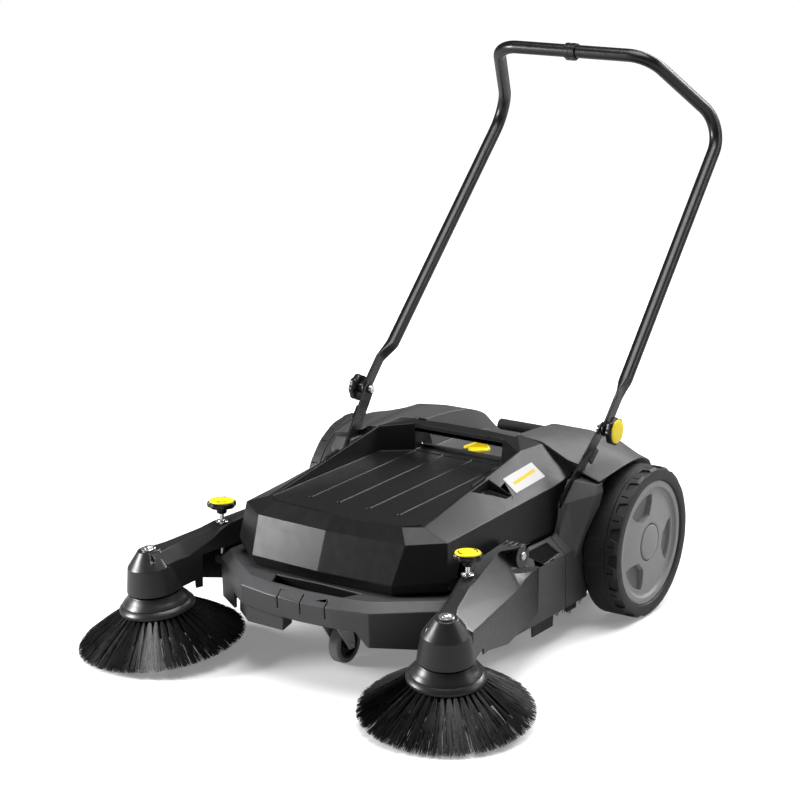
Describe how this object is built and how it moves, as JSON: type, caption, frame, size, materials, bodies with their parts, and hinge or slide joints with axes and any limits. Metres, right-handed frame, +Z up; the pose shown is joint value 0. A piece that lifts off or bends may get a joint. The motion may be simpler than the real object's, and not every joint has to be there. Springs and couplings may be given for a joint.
{
  "type": "walk behind sweeper",
  "caption": "Push floor sweeper with a lift-out debris container, roller brush, two side brushes on adjustable arms, large rear wheels, front caster and folding tube handle.",
  "frame": {"origin": "on the floor, under the middle of the machine's bounding box", "axes": "+Z up, -Y towards the side brushes (the front), X across the machine, +X on the side with the label plate"},
  "size_m": [0.9234, 1.2371, 1.0524],
  "materials": {
    "frame_plastic": "grained anthracite moulding",
    "container_plastic": "satin anthracite moulding",
    "rubber": "matt black",
    "tyre": "black-grey rubber with lugs",
    "rim_plastic": "mid grey moulding",
    "yellow_plastic": "satin yellow",
    "knob_plastic": "black moulding",
    "bristle": "black nylon bristles",
    "tube_paint": "satin black powder coat",
    "bright_steel": "bright plated",
    "steel": "zinc plated",
    "caster_tyre": "grey rubber",
    "label": "printed plate, white with a yellow band",
    "gear_plastic": "natural nylon"
  },
  "bodies": {
    "chassis": {"base_frame": "frame_plastic", "rear_hood": "frame_plastic", "left_side_cover": "frame_plastic", "right_side_cover": "frame_plastic", "left_handle_bracket": "tube_paint", "right_handle_bracket": "tube_paint", "brush_tunnel": "frame_plastic", "rear_seal": "rubber", "left_side_seal": "rubber", "right_side_seal": "rubber", "rear_grip_bar": "rubber", "left_axle": "steel", "right_axle": "steel", "left_arm_pin": "steel", "right_arm_pin": "steel", "left_clamp_bolt": "bright_steel", "right_clamp_bolt": "bright_steel", "caster_plate": "steel"},
    "right_wheel": {"right_tyre": "tyre", "right_rim": "rim_plastic", "right_hub_cap": "rim_plastic", "right_wheel_gear": "gear_plastic"},
    "left_wheel": {"left_tyre": "tyre", "left_rim": "rim_plastic", "left_hub_cap": "rim_plastic"},
    "left_gear": {"left_wheel_gear": "gear_plastic"},
    "roller": {"roller_shaft": "knob_plastic", "roller_bristles": "bristle", "left_pinion": "gear_plastic", "right_pinion": "gear_plastic"},
    "handle": {"left_handle_tube": "tube_paint", "right_handle_tube": "tube_paint", "handle_coupler": "knob_plastic"},
    "container": {"container": "container_plastic", "grip_strip": "rubber", "label_plate": "label"},
    "caster_swivel": {"caster_fork": "steel"},
    "caster_wheel": {"caster_tyre": "caster_tyre", "caster_core": "knob_plastic"},
    "height_knob": {"height_knob": "yellow_plastic"},
    "left_arm": {"left_arm": "frame_plastic"},
    "left_side_brush": {"left_brush_bolt": "bright_steel", "left_brush_hub": "frame_plastic", "left_side_bristles": "bristle"},
    "left_arm_screw": {"left_arm_screw": "bright_steel"},
    "left_arm_knob": {"left_arm_knob": "knob_plastic", "left_arm_knob_cap": "yellow_plastic"},
    "left_clamp": {"left_clamp_knob": "knob_plastic", "left_clamp_cap": "yellow_plastic"},
    "right_arm": {"right_arm": "frame_plastic"},
    "right_side_brush": {"right_brush_bolt": "bright_steel", "right_brush_hub": "frame_plastic", "right_side_bristles": "bristle"},
    "right_arm_screw": {"right_arm_screw": "bright_steel"},
    "right_arm_knob": {"right_arm_knob": "knob_plastic", "right_arm_knob_cap": "yellow_plastic"},
    "right_clamp": {"right_clamp_knob": "knob_plastic", "right_clamp_cap": "yellow_plastic"}
  },
  "joints": [
    {"name": "right_wheel_spin", "type": "hinge", "parent": "chassis", "child": "right_wheel", "pos_m": [0.3085, 0.2051, 0.1465], "axis": [1, 0, 0], "continuous": true},
    {"name": "left_wheel_spin", "type": "hinge", "parent": "chassis", "child": "left_wheel", "pos_m": [-0.3335, 0.2051, 0.1465], "axis": [1, 0, 0], "continuous": true},
    {"name": "left_gear_spin", "type": "hinge", "parent": "chassis", "child": "left_gear", "pos_m": [-0.254, 0.2051, 0.1465], "axis": [1, 0, 0], "continuous": true},
    {"name": "roller_spin", "type": "hinge", "parent": "chassis", "child": "roller", "pos_m": [0, 0.1198, 0.125], "axis": [1, 0, 0], "continuous": true},
    {"name": "handle_fold", "type": "hinge", "parent": "chassis", "child": "handle", "pos_m": [0, 0.1371, 0.374], "axis": [1, 0, 0], "range_deg": [0, 120]},
    {"name": "container_lift", "type": "slide", "parent": "chassis", "child": "container", "axis": [0, 0, 1], "range_m": [0, 0.25]},
    {"name": "caster_swivel_turn", "type": "hinge", "parent": "chassis", "child": "caster_swivel", "pos_m": [0, -0.3509, 0.09], "axis": [0, 0, 1], "continuous": true},
    {"name": "caster_wheel_spin", "type": "hinge", "parent": "caster_swivel", "child": "caster_wheel", "pos_m": [0, -0.3249, 0.037], "axis": [1, 0, 0], "continuous": true},
    {"name": "height_knob_turn", "type": "hinge", "parent": "chassis", "child": "height_knob", "pos_m": [0, 0.1291, 0.2906], "axis": [0, 0, 1], "range_deg": [0, 150]},
    {"name": "left_arm_lift", "type": "hinge", "parent": "chassis", "child": "left_arm", "pos_m": [-0.259, -0.1699, 0.21], "axis": [-1, 0, 0], "range_deg": [0, 10]},
    {"name": "left_brush_spin", "type": "hinge", "parent": "left_arm", "child": "left_side_brush", "pos_m": [-0.319, -0.4864, 0.2007], "axis": [-0.0634, -0.1181, 0.991], "continuous": true},
    {"name": "left_screw_travel", "type": "slide", "parent": "left_arm", "child": "left_arm_screw", "axis": [0, 0, 1], "range_m": [0, 0.006]},
    {"name": "left_knob_turn", "type": "hinge", "parent": "left_arm_screw", "child": "left_arm_knob", "pos_m": [-0.267, -0.3379, 0.25], "axis": [0, 0, 1], "range_deg": [0, 1080]},
    {"name": "left_clamp_turn", "type": "hinge", "parent": "chassis", "child": "left_clamp", "pos_m": [-0.29, 0.1371, 0.374], "axis": [1, 0, 0], "range_deg": [0, 720]},
    {"name": "right_arm_lift", "type": "hinge", "parent": "chassis", "child": "right_arm", "pos_m": [0.259, -0.1699, 0.21], "axis": [-1, 0, 0], "range_deg": [0, 10]},
    {"name": "right_brush_spin", "type": "hinge", "parent": "right_arm", "child": "right_side_brush", "pos_m": [0.319, -0.4864, 0.2007], "axis": [0.0634, -0.1181, 0.991], "continuous": true},
    {"name": "right_screw_travel", "type": "slide", "parent": "right_arm", "child": "right_arm_screw", "axis": [0, 0, 1], "range_m": [0, 0.006]},
    {"name": "right_knob_turn", "type": "hinge", "parent": "right_arm_screw", "child": "right_arm_knob", "pos_m": [0.267, -0.3379, 0.25], "axis": [0, 0, 1], "range_deg": [0, 1080]},
    {"name": "right_clamp_turn", "type": "hinge", "parent": "chassis", "child": "right_clamp", "pos_m": [0.29, 0.1371, 0.374], "axis": [1, 0, 0], "range_deg": [0, 720]}
  ],
  "couplings": [
    {"joint": "left_gear_spin", "follows": "right_wheel_spin", "ratio": 1},
    {"joint": "roller_spin", "follows": "right_wheel_spin", "ratio": -2.6667},
    {"joint": "left_brush_spin", "follows": "right_wheel_spin", "ratio": 1.5},
    {"joint": "left_screw_travel", "follows": "left_knob_turn", "m_per_rad": 0.00031831},
    {"joint": "right_brush_spin", "follows": "right_wheel_spin", "ratio": -1.5},
    {"joint": "right_screw_travel", "follows": "right_knob_turn", "m_per_rad": 0.00031831}
  ]
}
